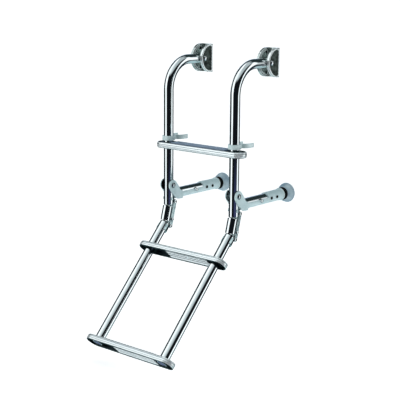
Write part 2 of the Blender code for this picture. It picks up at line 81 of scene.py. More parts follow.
# ---------------------------------------------------------------- material helpers


class Nodes:
    """A material's node tree, with short calls to add and join nodes."""

    def __init__(self, name):
        self.material = bpy.data.materials.new(name)
        self.material.use_nodes = True
        self.tree = self.material.node_tree
        self.shader = self.tree.nodes["Principled BSDF"]
        self.place = self.add("TexCoord").outputs["Object"]

    def add(self, kind):
        return self.tree.nodes.new("ShaderNode" + kind)

    def link(self, source, target):
        self.tree.links.new(source, target)

    def noise(self, scale, detail=2.0, rough=0.5, stretch=None):
        node = self.add("TexNoise")
        node.inputs["Scale"].default_value = scale
        node.inputs["Detail"].default_value = detail
        node.inputs["Roughness"].default_value = rough
        place = self.place
        if stretch:
            mapping = self.add("Mapping")
            mapping.inputs["Scale"].default_value = stretch
            self.link(place, mapping.inputs["Vector"])
            place = mapping.outputs["Vector"]
        self.link(place, node.inputs["Vector"])
        return node.outputs["Fac"]

    def ramp(self, source, low, high, start=0.3, end=0.7):
        node = self.add("ValToRGB")
        first, last = node.color_ramp.elements
        first.position, last.position = start, end
        first.color, last.color = (*low, 1), (*high, 1)
        self.link(source, node.inputs["Fac"])
        return node.outputs["Color"]

    def spread(self, source, low, high, start=0.3, end=0.7):
        node = self.add("MapRange")
        for key, value in (("From Min", start), ("From Max", end), ("To Min", low), ("To Max", high)):
            node.inputs[key].default_value = value
        self.link(source, node.inputs["Value"])
        return node.outputs["Result"]

    def bump(self, source, strength, distance):
        node = self.add("Bump")
        node.inputs["Strength"].default_value = strength
        node.inputs["Distance"].default_value = distance
        self.link(source, node.inputs["Height"])
        self.link(node.outputs["Normal"], self.shader.inputs["Normal"])

    def set(self, **values):
        for key, value in values.items():
            socket = self.shader.inputs[key.replace("_", " ")]
            if hasattr(value, "is_linked"):
                self.link(value, socket)
            else:
                socket.default_value = value


def polished_steel(name, dark, light, rough, grain, metallic=1.0, cloud=38.0):
    """Stainless steel: faint polishing streaks along the grain and cloudy wiping marks."""
    paint = Nodes(name)
    clouds = paint.noise(cloud, 3.0, 0.55)
    streaks = paint.noise(420.0, 2.0, 0.6, grain)
    paint.set(Metallic=metallic, Base_Color=paint.ramp(clouds, dark, light),
              Roughness=paint.spread(streaks, rough, rough + 0.05))
    paint.bump(streaks, 0.02, 0.0002)
    return paint.material


def moulded(name, dark, light, rough, speckle=900.0, strength=0.25, gloss=0.45, cloud=60.0):
    """Moulded plastic or a cast skin: finely pebbled, with slightly uneven colour."""
    paint = Nodes(name)
    clouds = paint.noise(cloud, 3.0, 0.6)
    pebbles = paint.noise(speckle, 2.0, 0.6)
    paint.set(Base_Color=paint.ramp(clouds, dark, light),
              Roughness=paint.spread(pebbles, rough - 0.06, rough + 0.08), Specular_IOR_Level=gloss)
    paint.bump(pebbles, strength, 0.0003)
    return paint.material


ALONG_X = (0.04, 1.0, 1.0)
ALONG_Y = (1.0, 0.04, 1.0)
ALONG_Z = (1.0, 1.0, 0.04)
TUBE_STEEL = polished_steel("tube_steel", (0.76, 0.80, 0.81), (0.87, 0.90, 0.91), 0.04, ALONG_Z)
STEP_STEEL = polished_steel("step_steel", (0.86, 0.92, 0.93), (0.93, 0.97, 0.98), 0.14, ALONG_X, metallic=0.5)
# Painted shade: near-black steel for the hem and the inner side of each step's rolled edge.
LIP_SHADE_STEEL = polished_steel("lip_shade_steel", (0.05, 0.08, 0.085), (0.12, 0.17, 0.18), 0.30, ALONG_X)
# Painted shade: darker grey-blue steel along the two pressed lines of each step's edge.
LINE_SHADE_STEEL = polished_steel("line_shade_steel", (0.16, 0.24, 0.28), (0.26, 0.34, 0.38), 0.30, ALONG_X)
# Painted shade: near-black steel for the plate inside each step, dark in the voids beside the treads.
PLATE_SHADE_STEEL = polished_steel("plate_shade_steel", (0.08, 0.11, 0.13), (0.18, 0.23, 0.26), 0.25, ALONG_X)
CAST_STEEL = polished_steel("cast_steel", (0.14, 0.20, 0.18), (0.80, 0.87, 0.86), 0.20, ALONG_Y,
                            metallic=0.8, cloud=75.0)
# Painted highlight: pale half-metallic steel that keeps the cheek rims and beads bright whatever they
# reflect.
RIM_HIGHLIGHT_STEEL = polished_steel("rim_highlight_steel", (0.80, 0.86, 0.86), (0.92, 0.95, 0.95), 0.12, ALONG_Z, metallic=0.6)
HINGE_STEEL = polished_steel("hinge_steel", (0.14, 0.20, 0.21), (0.56, 0.68, 0.69), 0.16, ALONG_Z, cloud=95.0)
# Painted shade: near-black steel for the domed plug at the top of each lower tube, the dark gap at the hinge.
END_SHADE_STEEL = polished_steel("end_steel", (0.03, 0.045, 0.045), (0.10, 0.13, 0.13), 0.14, ALONG_Z)
BOLT_STEEL = polished_steel("bolt_steel", (0.72, 0.76, 0.76), (0.84, 0.87, 0.88), 0.11, ALONG_X)
# Painted shade: a pebbled cast skin, near black, for the recess in each cheek.
CAST_RECESS_SHADE = moulded("cast_recess_shade", (0.001, 0.003, 0.002), (0.085, 0.110, 0.100), 0.42,
                    speckle=240.0, strength=0.6, gloss=0.12, cloud=120.0)
ARM_PLASTIC = moulded("arm_plastic", (0.50, 0.66, 0.69), (0.62, 0.77, 0.80), 0.34)
CLIP_PLASTIC = moulded("clip_plastic", (0.54, 0.68, 0.69), (0.70, 0.83, 0.84), 0.40)
TREAD_PLASTIC = moulded("tread_plastic", (0.74, 0.83, 0.86), (0.86, 0.93, 0.95), 0.45,
                        speckle=700.0, strength=0.3)
TREAD_TOP = moulded("tread_top", (0.17, 0.24, 0.34), (0.27, 0.36, 0.48), 0.34, speckle=700.0, strength=0.3)
# Painted shade: near-black plastic for the floors of the grooves under the treads.
GROOVE_SHADE_PLASTIC = moulded("tread_groove_shade", (0.02, 0.035, 0.045), (0.05, 0.075, 0.09), 0.60,
                 speckle=700.0, strength=0.2, gloss=0.2)
FOOT_RUBBER = moulded("foot_rubber", (0.20, 0.31, 0.40), (0.50, 0.62, 0.67), 0.34,
                      speckle=500.0, strength=0.3, cloud=45.0)
DARK_PLASTIC = moulded("dark_plastic", (0.002, 0.003, 0.004), (0.006, 0.008, 0.010), 0.45, gloss=0.15)
NAVY_PLASTIC = moulded("navy_plastic", (0.030, 0.036, 0.13), (0.055, 0.065, 0.21), 0.35)

FINISH_GROUPS = (
    (TUBE_STEEL, ("upright", "upright_cap", "upright_end", "link_tube", "lower_tube", "extension_tube")),
    (END_SHADE_STEEL, ("lower_end",)),
    (STEP_STEEL, ("step_pan",)),
    (CAST_STEEL, ("mount_bracket",)),
    (HINGE_STEEL, ("upper_saddle", "lower_saddle", "link_bracket")),
    (BOLT_STEEL, ("pivot_bolt", "pivot_nut", "arm_bolt", "arm_nut", "link_rivet", "upper_hinge_pin",
                  "lower_hinge_pin", "adjust_pin", "tread_screw")),
    (CLIP_PLASTIC, ("arm_clip",)),
    (ARM_PLASTIC, ("arm_body",)),
    (FOOT_RUBBER, ("foot",)),
    (DARK_PLASTIC, ("foot_stud",)),
    (NAVY_PLASTIC, ("tube_plug",)),
    (TREAD_PLASTIC, ("step_tread",)),
)
FINISHES = {family: finish for finish, families in FINISH_GROUPS for family in families}


def family_of(node):
    return node.rsplit("_", 1)[0]


# ---------------------------------------------------------------- mesh helpers

SMOOTH_ANGLE = 40
TURNED_SMOOTH_ANGLE = 50
FLAT_SMOOTH_ANGLE = 30
WELD_SMOOTH_ANGLE = 80


def add_piece(name, work, material, node, smooth=SMOOTH_ANGLE):
    """Makes an object from a bmesh, riding on the body of the CAD node that it belongs to."""
    mesh = bpy.data.meshes.new(name)
    bmesh.ops.recalc_face_normals(work, faces=work.faces)
    work.to_mesh(mesh)
    work.free()
    mesh.shade_smooth()
    mesh.set_sharp_from_angle(angle=math.radians(smooth))
    mesh.materials.append(material)
    piece = bpy.data.objects.new(name, mesh)
    bpy.context.scene.collection.objects.link(piece)
    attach(piece, BODY_OF[node])
    return piece


def middle_of(node):
    low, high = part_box(node)
    return (low + high) / 2


def bridge(work, rings, cyclic=False):
    """Faces between rings of the same number of vertices."""
    pairs = list(zip(rings, rings[1:])) + ([(rings[-1], rings[0])] if cyclic else [])
    for first, second in pairs:
        for i in range(len(first)):
            j = (i + 1) % len(first)
            work.faces.new((first[i], first[j], second[j], second[i]))


def circle(centre, across, up, radius, sides=ROUND):
    """Points round a circle in the plane of two unit vectors."""
    turns = [2 * math.pi * i / sides for i in range(sides)]
    return [centre + (across * math.cos(a) + up * math.sin(a)) * radius for a in turns]


def lathe(profile, at, axis, sides=ROUND):
    """A bmesh turned from (radius, distance along the axis) pairs that start and end on the axis."""
    work = bmesh.new()
    axis = Vector(axis).normalized()
    side = axis.orthogonal().normalized()
    other = axis.cross(side)
    rings = []
    for radius, along in profile:
        centre = Vector(at) + axis * along
        points = circle(centre, side, other, radius, sides) if radius > 0 else [centre]
        rings.append([work.verts.new(point) for point in points])
    for first, second in zip(rings, rings[1:]):
        for i in range(sides):
            j = (i + 1) % sides
            if len(first) == 1:
                corners = (first[0], second[j], second[i])
            elif len(second) == 1:
                corners = (first[i], first[j], second[0])
            else:
                corners = (first[i], first[j], second[j], second[i])
            work.faces.new(corners)
    return work


def add_turned(name, profile, at, axis, material, node, sides=ROUND):
    return add_piece(name, lathe(profile, at, axis, sides), material, node, TURNED_SMOOTH_ANGLE)


def tube_along(path, radius, wall):
    """A hollow tube swept along points that lie in a plane across X."""
    work = bmesh.new()
    shells = []
    for shell_radius in (radius, radius - wall):
        shell = []
        for index, point in enumerate(path):
            before, after = path[max(index - 1, 0)], path[min(index + 1, len(path) - 1)]
            up = AXIS_X.cross((after - before).normalized())
            shell.append([work.verts.new(p) for p in circle(point, AXIS_X, up, shell_radius)])
        shells.append(shell)
    outer, inner = shells
    for rings in (outer, inner, [outer[0], inner[0]], [outer[-1], inner[-1]]):
        bridge(work, rings)
    return work


# ---------------------------------------------------------------- tubes

UPRIGHT_Y = -0.134
UPRIGHT_STEPS = 12
BEND_R = 0.066
BEND_STEPS = 48
RUN_STEPS = 4
HINGE_LEAN = {"link": math.radians(15.5), "lower": math.radians(43.4)}


def upright_path(x):
    """A curved tube's centre line: up from its hinge, round the bend and along to the bracket."""
    low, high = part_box("upright_left")
    climb = -BEND_R - low.z
    points = [Vector((x, UPRIGHT_Y, low.z + climb * i / UPRIGHT_STEPS)) for i in range(UPRIGHT_STEPS)]
    middle_y = UPRIGHT_Y + BEND_R
    for i in range(BEND_STEPS + 1):
        angle = math.pi - math.pi / 2 * i / BEND_STEPS
        points.append(Vector((x, middle_y + BEND_R * math.cos(angle), -BEND_R + BEND_R * math.sin(angle))))
    run = high.y - middle_y
    points += [Vector((x, middle_y + run * i / RUN_STEPS, 0)) for i in range(1, RUN_STEPS + 1)]
    return points


def leaning_path(node, lean):
    """A straight tube's centre line, found from its CAD node's box and how far it leans."""
    low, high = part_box(node)
    along = Vector((0, math.sin(lean), math.cos(lean)))
    half = ((high.z - low.z) / 2 - TUBE_R * math.sin(lean)) / math.cos(lean)
    return [middle_of(node) - along * half, middle_of(node) + along * half]


def extension_path(node, x):
    low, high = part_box(node)
    level = middle_of(node).z
    return [Vector((x, low.y, level)), Vector((x, high.y, level))]


def add_tubes():
    for side, x in SIDES:
        link, lower, extension = "link_tube_" + side, "lower_tube_" + side, "extension_tube_" + side
        paths = {"upright_" + side: upright_path(x),
                 link: leaning_path(link, HINGE_LEAN["link"]),
                 lower: leaning_path(lower, HINGE_LEAN["lower"]),
                 extension: extension_path(extension, x)}
        for node, path in paths.items():
            piece = add_piece(node + "_smooth", tube_along(path, TUBE_R, TUBE_WALL), TUBE_STEEL, node)
            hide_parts(node)


# ---------------------------------------------------------------- steps

STEP_HALF_LENGTH = 0.125
STEP_HALF_HEIGHT = 0.0065
STEP_END_R = 0.020
STEP_END_X = STEP_HALF_LENGTH - STEP_END_R
END_ARC_STEPS = 24
FLANGE_EDGE = 0.0006
FLANGE_CROWN = 0.0017
FLANGE_STEPS = 36
HEM_TOP = -0.0050
LINE_HEIGHTS = (-0.0019, 0.0024)
LINE_DEPTH = 0.0007
LINE_SPREAD = 0.00042
LINE_HALF_WIDTH = 0.00040

PLATE_TOP = 0.0044
PLATE_UNDERSIDE = 0.0036
PLATE_INSET = 0.0032
WELD_LEVELS = (("upper", 0.0046), ("lower", 0.0034))
WELD_R = 0.0008
WELD_OFFSET = 0.0006
WELD_STEPS = 10
WELD_RIPPLES = 24
WELD_RIPPLE_DEPTH = 0.012

# A rib and its groove as (share of the pitch, share of the groove's depth); the last rib has no groove.
RIB_SHAPE = ((0.0, 0.25), (0.07, 0.0), (0.58, 0.0), (0.65, 0.3), (0.68, 1.0), (0.97, 1.0))
LAST_RIB_SHAPE = ((0.0, 0.25), (0.07, 0.0), (0.93, 0.0), (1.0, 0.25))
# Shares of a groove's depth where its painted shade begins and ends.
GROOVE_SHADE_FROM = 0.6
GROOVE_SHADE_TO = 1.3
TREAD_END_DRAW = 0.97
TREAD_END_ROUND = 0.0005
TREAD_HALF_LENGTH = 0.078
FOOT_HALF_DEPTH = 0.0164
FOOT_LEVEL = -0.0046
FOOT_SHOULDER = 0.0032
FOOT_RIBS = 4
FOOT_GROOVE = 0.0015
TOP_HALF_DEPTH = 0.0127
TOP_LEVEL = 0.0085
TOP_SHOULDER = 0.0037
TOP_RIBS = 6
TOP_GROOVE = 0.0011


def step_frame(name):
    """The place and tilt of a step: X along it, Y across it and Z up the tubes."""
    lean = 0.0 if name == "top" else HINGE_LEAN["lower"]
    return Matrix.Translation(middle_of("step_pan_" + name)) @ Matrix.Rotation(-lean, 4, "X")


def obround(inset):
    """A step's outline with its two round ends, drawn in by inset."""
    radius = STEP_END_R - inset
    points = []
    for centre, start in ((STEP_END_X, -90), (-STEP_END_X, 90)):
        for i in range(END_ARC_STEPS + 1):
            a = math.radians(start + 180 * i / END_ARC_STEPS)
            points.append((centre + radius * math.cos(a), radius * math.sin(a)))
    return points


def flange_profile():
    """Section of a step's rolled edge as (inset, height) pairs: two pressed lines, a lip and a folded hem."""
    half = STEP_HALF_HEIGHT
    outside = []
    for i in range(FLANGE_STEPS + 1):
        z = -half + FLANGE_EDGE + 2 * (half - FLANGE_EDGE) * i / FLANGE_STEPS
        line = max(math.exp(-((z - at) / LINE_SPREAD) ** 2) for at in LINE_HEIGHTS)
        outside.append((FLANGE_CROWN * (abs(z) / half) ** 3 + LINE_DEPTH * line, z))
    lip = [(0.0021, half - 0.0002), (0.0026, half), (0.0031, half - 0.0003), (0.0033, half - 0.0010),
           (0.0031, 0.0046), (0.0030, 0.0036)]
    hem = [(0.0030, -half + 0.0012), (0.0029, -half + 0.0005), (0.0025, -half + 0.0001),
           (0.0020, -half + 0.0002)]
    return outside + lip + hem


def looks_out(point, normal):
    """Whether a face at a point of a step's edge looks out, away from the step's middle line."""
    nearest_x = max(-STEP_END_X, min(STEP_END_X, point.x))
    return normal.dot(Vector((point.x - nearest_x, point.y, 0))) > 0


def add_shell(name, place):
    """A step's rolled edge, with painted shade on its inner side, on its hem and along its two pressed lines.
    """
    work = bmesh.new()
    rings = []
    for inset, z in flange_profile():
        rings.append([work.verts.new(place @ Vector((x, y, z))) for x, y in obround(inset)])
    bridge(work, rings, cyclic=True)
    shell = add_piece("step_shell_" + name, work, STEP_STEEL, "step_pan_" + name)
    shell.data.materials.append(LIP_SHADE_STEEL)
    shell.data.materials.append(LINE_SHADE_STEEL)
    back = place.inverted()
    for face in shell.data.polygons:
        centre = back @ face.center
        # Painted shade: the hem and the inner side get the near-black steel, the pressed lines the grey-blue
        # steel.
        if centre.z < HEM_TOP or not looks_out(centre, back.to_3x3() @ face.normal):
            face.material_index = 1
        elif min(abs(centre.z - at) for at in LINE_HEIGHTS) < LINE_HALF_WIDTH:
            face.material_index = 2
    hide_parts("step_pan_" + name)


def drill(piece, place, radius):
    """Cuts a round hole through a piece along the Z axis of a place."""
    cutter = bmesh.new()
    bmesh.ops.create_cone(cutter, cap_ends=True, segments=48, radius1=radius, radius2=radius, depth=0.03,
                          matrix=place)
    mesh = bpy.data.meshes.new("hole")
    cutter.to_mesh(mesh)
    cutter.free()
    shape = bpy.data.objects.new("hole", mesh)
    bpy.context.scene.collection.objects.link(shape)
    cut = piece.modifiers.new("hole", "BOOLEAN")
    cut.operation = "DIFFERENCE"
    cut.object = shape
    with bpy.context.temp_override(object=piece, active_object=piece):
        bpy.ops.object.modifier_apply(modifier=cut.name)
    bpy.data.objects.remove(shape)


def add_plate(name, place):
    """The plate inside a step, with a hole for each tube; its near-black steel is painted shade."""
    work = bmesh.new()
    levels = []
    for z in (PLATE_TOP, PLATE_UNDERSIDE):
        levels.append([work.verts.new(place @ Vector((x, y, z))) for x, y in obround(PLATE_INSET)])
    work.faces.new(levels[0])
    work.faces.new(levels[1][::-1])
    bridge(work, levels)
    plate = add_piece("step_plate_" + name, work, PLATE_SHADE_STEEL, "step_pan_" + name, FLAT_SMOOTH_ANGLE)
    for _, x in SIDES:
        drill(plate, place @ Matrix.Translation((x, 0, 0)), TUBE_R + FIT_GAP)


def add_welds(name, place):
    """The rippled weld beads that join the tubes to the plate, above and below."""
    for side, x in SIDES:
        for level, z in WELD_LEVELS:
            work = bmesh.new()
            rings = []
            for i in range(WELD_STEPS):
                a = 2 * math.pi * i / WELD_STEPS
                radius = TUBE_R + WELD_OFFSET + WELD_R * math.cos(a)
                height = z + WELD_R * math.sin(a)
                ring = []
                for k in range(ROUND):
                    turn = 2 * math.pi * k / ROUND
                    reach = radius * (1 + WELD_RIPPLE_DEPTH * math.sin(turn * WELD_RIPPLES))
                    point = Vector((x + reach * math.cos(turn), reach * math.sin(turn), height))
                    ring.append(work.verts.new(place @ point))
                rings.append(ring)
            bridge(work, rings, cyclic=True)
            add_piece("weld_%s_%s_%s" % (name, side, level), work, CAST_STEEL, "step_pan_" + name,
                      WELD_SMOOTH_ANGLE)


def ribbed(half_depth, level, inward, ribs, groove, direction):
    """One ribbed side of a tread's section, as (y, z) pairs with rounded rib edges."""
    pitch = 2 * half_depth / ribs
    points = []
    for rib in range(ribs):
        start = -half_depth + pitch * rib
        for along, depth in RIB_SHAPE if rib < ribs - 1 else LAST_RIB_SHAPE:
            points.append((direction * (start + pitch * along), level + inward * groove * depth))
    return points


def ribbed_block(place, section, start, end):
    """A closed block of one ribbed section from start to end along a step, with softened ends."""
    work = bmesh.new()
    rings = []
    for x, draw in ((start, TREAD_END_DRAW), (start + TREAD_END_ROUND, 1.0),
                    (end - TREAD_END_ROUND, 1.0), (end, TREAD_END_DRAW)):
        rings.append([work.verts.new(place @ Vector((x, y * draw, z))) for y, z in section])
    bridge(work, rings)
    work.faces.new(rings[0][::-1])
    work.faces.new(rings[-1])
    return work


def add_tread(name, place):
    """A tread's pale ribbed foot, screwed up under the plate, with painted shade in its grooves, and its blue
    ribbed top.
    """
    node = "step_tread_" + name
    section = ribbed(FOOT_HALF_DEPTH, FOOT_LEVEL, 1, FOOT_RIBS, FOOT_GROOVE, 1)
    section += [(FOOT_HALF_DEPTH, FOOT_SHOULDER), (-FOOT_HALF_DEPTH, FOOT_SHOULDER)]
    foot_start = middle_of("tread_screw_" + name).x * 2 - TREAD_HALF_LENGTH
    foot = add_piece("tread_foot_" + name, ribbed_block(place, section, foot_start, TREAD_HALF_LENGTH),
                     TREAD_PLASTIC, node, FLAT_SMOOTH_ANGLE)
    foot.data.materials.append(GROOVE_SHADE_PLASTIC)
    # Painted shade: faces deep in a groove get the near-black plastic.
    back = place.inverted()
    for face in foot.data.polygons:
        depth = (back @ face.center).z - FOOT_LEVEL
        if GROOVE_SHADE_FROM * FOOT_GROOVE < depth < GROOVE_SHADE_TO * FOOT_GROOVE:
            face.material_index = 1
    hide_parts(node)

    section = ribbed(TOP_HALF_DEPTH, TOP_LEVEL, -1, TOP_RIBS, TOP_GROOVE, -1)
    section += [(-TOP_HALF_DEPTH, TOP_SHOULDER), (TOP_HALF_DEPTH, TOP_SHOULDER)]
    add_piece("tread_top_" + name, ribbed_block(place, section, -TREAD_HALF_LENGTH, TREAD_HALF_LENGTH),
              TREAD_TOP, node, FLAT_SMOOTH_ANGLE)


def add_steps():
    for name in STEPS:
        place = step_frame(name)
        add_shell(name, place)
        add_plate(name, place)
        add_welds(name, place)
        add_tread(name, place)


# ---------------------------------------------------------------- feet, bolts and tube ends

FACE_GROOVES = (0.0044, 0.0096, 0.0148)
FOOT_DOME_STEPS = 14
DOME_R = 0.0109
DOME_LIFT = 0.0003
DOME_TOP = 0.0052


def foot_profile(radius):
    """Section of a foot: grooved face, rounded rim, domed back and the mouth round its ball stud."""
    profile = [(0, 0)]
    for at in FACE_GROOVES:
        profile += [(at - 0.0004, 0), (at, -0.0006), (at + 0.0006, 0)]
    profile += [(radius - 0.0012, 0), (radius - 0.0003, -0.0004), (radius, -0.0012),
                (radius - 0.0001, -0.0026), (radius - 0.0006, -0.0036), (radius - 0.0013, -0.0041)]
    for i in range(1, FOOT_DOME_STEPS + 1):
        a = math.radians(90 - 72 * i / FOOT_DOME_STEPS)
        profile.append((0.0055 + (radius - 0.0070) * math.sin(a), -0.0042 - 0.0158 * math.cos(a)))
    return profile + [(0.0086, -0.0198), (0.0076, -0.0203), (0.0068, -0.0201), (0.0062, -0.0190),
                      (0.0050, -0.0180), (0, -0.0180)]


def add_foot(side, x):
    """A foot with its dark boot, and a near-black ring of painted shade in the mouth of the sleeve before it.
    """
    node = "foot_" + side
    low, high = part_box(node)
    centre = Vector((x, high.y, middle_of(node).z))
    profile = foot_profile((high.z - low.z) / 2)
    pad = add_turned("foot_pad_" + side, profile, centre, AXIS_Y, FOOT_RUBBER, node)
    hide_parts(node)
    boot = [(0, -0.0206), (0.0126, -0.0206), (0.0140, -0.0200), (0.0147, -0.0188), (0.0148, -0.0172),
            (0.0140, -0.0150), (0, -0.0140)]
    add_turned("foot_boot_" + side, boot, centre, AXIS_Y, DARK_PLASTIC, node)
    # Painted shade: a near-black ring fills the dark gap between the sleeve's mouth and the foot.
    mouth = Vector((x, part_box("arm_body_" + side)[1].y, centre.z))
    shadow_ring = [(0, 0.0045), (0.0096, 0.0045), (0.0104, 0.0040), (0.0113, 0.0030), (0.0113, 0.0006),
              (0.0108, 0.0002), (0, 0.0002)]
    add_turned("foot_shadow_ring_" + side, shadow_ring, mouth, AXIS_Y, DARK_PLASTIC, "foot_stud_" + side)


def bolt_seat(node, head):
    """The point on a bolt's axis where its head, of the given height, begins."""
    middle = middle_of(node)
    return Vector((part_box(node)[1].x - head, middle.y, middle.z))


def add_bolts(side):
    """The domed pivot bolt, and the arm bolt's head on its dark washer."""
    node = "pivot_bolt_" + side
    dome = [(0, 0.0034), (0.0012, 0.0034), (0.0030, 0.0031), (0.0045, 0.0025), (0.0057, 0.0015),
            (0.0063, 0.0005), (0.0063, 0.0001), (0.0038, 0.0001), (0.0038, -0.0360), (0.0034, -0.0366),
            (0, -0.0366)]
    bolt = add_turned("pivot_bolt_dome_" + side, dome, bolt_seat(node, 0.0035), AXIS_X, BOLT_STEEL, node)
    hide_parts(node)

    node = "arm_bolt_" + side
    seat = bolt_seat(node, 0.0026)
    washer = [(0, 0.0001), (0.0058, 0.0001), (0.0060, 0.0004), (0.0058, 0.0008), (0, 0.0008)]
    add_turned("arm_washer_" + side, washer, seat, AXIS_X, DARK_PLASTIC, node)
    head = [(0, 0.0019), (0.0010, 0.0019), (0.0012, 0.0026), (0.0024, 0.0025), (0.0034, 0.0019),
            (0.0040, 0.0009), (0.0030, 0.0008), (0, 0.0008)]
    add_turned("arm_bolt_head_" + side, head, seat, AXIS_X, BOLT_STEEL, node)


def add_pin_dimples(side):
    """A near-black disc of painted shade for the dimple in each end of the hinge pins."""
    # Painted shade: a flat near-black disc stands for each dimple.
    dimple = [(0, 0.0002), (0.0016, 0.0002), (0.0019, 0.0001), (0.0019, -0.0004), (0, -0.0004)]
    for level in ("upper", "lower"):
        node = "%s_hinge_pin_%s" % (level, side)
        low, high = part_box(node)
        middle = middle_of(node)
        for face, word, edge in ((1, "out", high.x), (-1, "in", low.x)):
            at = Vector((edge, middle.y, middle.z))
            add_turned("pin_dimple_%s_%s_%s" % (level, side, word), dimple, at, AXIS_X * face,
                       DARK_PLASTIC, node, SMALL_ROUND)


def dome_profile():
    """Section of a tube's domed plug, with the short neck inside the tube."""
    dome = [(0, DOME_TOP)]
    for degrees in range(6, 91, 6):
        a = math.radians(degrees)
        dome.append((DOME_R * math.sin(a), DOME_LIFT + (DOME_TOP - DOME_LIFT) * math.cos(a)))
    return dome + [(0.0105, -0.0006), (0.0092, -0.0008), (0.0092, -0.0080), (0, -0.0080)]


def add_domed_end(node, axis):
    """A domed plug set on the end of its tube, found from the CAD plug's tip and rim."""
    corners = [vertex.co for vertex in NODES[node].data.vertices]
    rim = max(corner.dot(axis) for corner in corners) - DOME_TOP
    below = [corner for corner in corners if corner.dot(axis) < rim + 0.0008]
    middle = sum(below, Vector()) / len(below)
    base = middle + axis * (rim - middle.dot(axis))
    plug = add_turned(node + "_smooth", dome_profile(), base, axis, FINISHES[family_of(node)], node)
    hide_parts(node)


def add_turned_parts():
    lean = HINGE_LEAN["lower"]
    for side, x in SIDES:
        add_foot(side, x)
        add_bolts(side)
        add_pin_dimples(side)
        add_domed_end("upright_end_" + side, -AXIS_Z)
        # The lower tube's plug takes the near-black steel of painted shade.
        add_domed_end("lower_end_" + side, Vector((0, math.sin(lean), math.cos(lean))))


# ---------------------------------------------------------------- arms

LIP_STEPS = 12
SPARE_HOLES = (0.122, 0.143)


def add_sleeve_rim(side, x):
    """The light rolled rim at the sleeve's mouth."""
    node = "arm_body_" + side
    section = [(0.0118, -0.0034)]
    for i in range(LIP_STEPS):
        a = math.radians(-90 + 180 * i / (LIP_STEPS - 1))
        section.append((0.0138 + 0.0010 * math.cos(a), 0.0016 * math.sin(a) - 0.0018))
    section.append((0.0118, -0.0002))
    mouth = Vector((x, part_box(node)[1].y, middle_of("foot_" + side).z))
    work = bmesh.new()
    rings = []
    for radius, along in section:
        points = circle(mouth + AXIS_Y * along, AXIS_X, AXIS_Z, radius)
        rings.append([work.verts.new(point) for point in points])
    bridge(work, rings, cyclic=True)
    add_piece("sleeve_rim_" + side, work, CLIP_PLASTIC, node, TURNED_SMOOTH_ANGLE)


def add_arm_details():
    """Each arm's sleeve rim, with near-black discs of painted shade inside its fork, on its pin's end and in
    its spare holes.
    """
    # Painted shade: the washer profile makes a near-black disc on each side of the fork.
    washer = [(0, 0.0003), (0.0128, 0.0003), (0.0131, 0.0002), (0.0131, 0.0001), (0, 0.0001)]
    # Painted shade: a near-black dot over the end of the adjusting pin.
    shade_dot = [(0, 0.0002), (0.0046, 0.0002), (0.0050, 0.0004), (0.0050, 0.0008), (0.0046, 0.0010),
               (0, 0.0010)]
    # Painted shade: the plug profile makes a near-black cap in each spare hole.
    plug = [(0, 0.0034), (0.0030, 0.0034), (0.0035, 0.0031), (0.0036, 0.0024), (0, 0.0002)]
    for side, x in SIDES:
        node = "arm_body_" + side
        add_sleeve_rim(side, x)
        pivot = middle_of("arm_bolt_" + side)
        for face, word in FACES:
            at = Vector((x + face * 0.0113, pivot.y, pivot.z))
            add_turned("fork_shade_disc_%s_%s" % (side, word), washer, at, AXIS_X * face, DARK_PLASTIC, node)
        pin = middle_of("adjust_pin_" + side)
        add_turned("pin_shade_dot_" + side, shade_dot, Vector((x + 0.0110, pin.y, pin.z)), AXIS_X,
                   DARK_PLASTIC, node, MIDDLE_ROUND)
        level = middle_of("foot_" + side).z
        for index, along in enumerate(SPARE_HOLES):
            for face, word in FACES:
                at = Vector((x + face * 0.0112, UPRIGHT_Y + along, level))
                add_turned("hole_plug_%s_%d_%s" % (side, index, word), plug, at, AXIS_X * face,
                           DARK_PLASTIC, node, SMALL_ROUND)


# ---------------------------------------------------------------- hull brackets

CHEEK_R = 0.0325
CHEEK_MIDDLE_Y = -0.0065
CHEEK_ARC_STEPS = 40
CHEEK_BACK_STEPS = 32
BEAD_STEPS = 8
# A cheek's recess as (inset from its outline, distance from the bracket's middle).
RECESS = ((0.0034, 0.0170), (0.0035, 0.0173), (0.0054, 0.0172), (0.0063, 0.0160), (0.0080, 0.0149),
          (0.0130, 0.0144))
OUTER_FACE_X = 0.0168
INNER_FACE_X = -0.0116
RIM_FROM_X = 0.0108
HOLE_X = -0.0115
HOLE_Y = -0.009
HOLE_HEIGHTS = (-0.022, 0.022)
SCREW_Y = -0.003
SCREW_HEIGHTS = (-0.024, 0.024)


def d_outline(inset, scallop=0.0):
    """The D-shaped side of a mount in (y, z), its flat back waved by scallop."""
    radius = CHEEK_R - inset
    points = []
    for i in range(CHEEK_ARC_STEPS + 1):
        a = math.radians(90 + 180 * i / CHEEK_ARC_STEPS)
        points.append((CHEEK_MIDDLE_Y + radius * math.cos(a), radius * math.sin(a)))
    for i in range(1, CHEEK_BACK_STEPS):
        z = -radius + 2 * radius * i / CHEEK_BACK_STEPS
        points.append((-inset - scallop * (1 + math.cos(z * 900)) / 2, z))
    return points


def bead(work, x, face, inset, width, rise, scallop=0.0):
    """A raised half-round bead that follows a mount's outline on one side of a cheek."""
    rings = []
    for i in range(BEAD_STEPS + 1):
        a = math.radians(180 * i / BEAD_STEPS)
        ring_inset = inset + width / 2 * (1 - math.cos(a))
        wave = scallop if ring_inset > inset + width * 0.6 else 0.0
        points = [(x + face * rise * math.sin(a), y, z) for y, z in d_outline(ring_inset, wave)]
        rings.append([work.verts.new(point) for point in points])
    bridge(work, rings, cyclic=True)


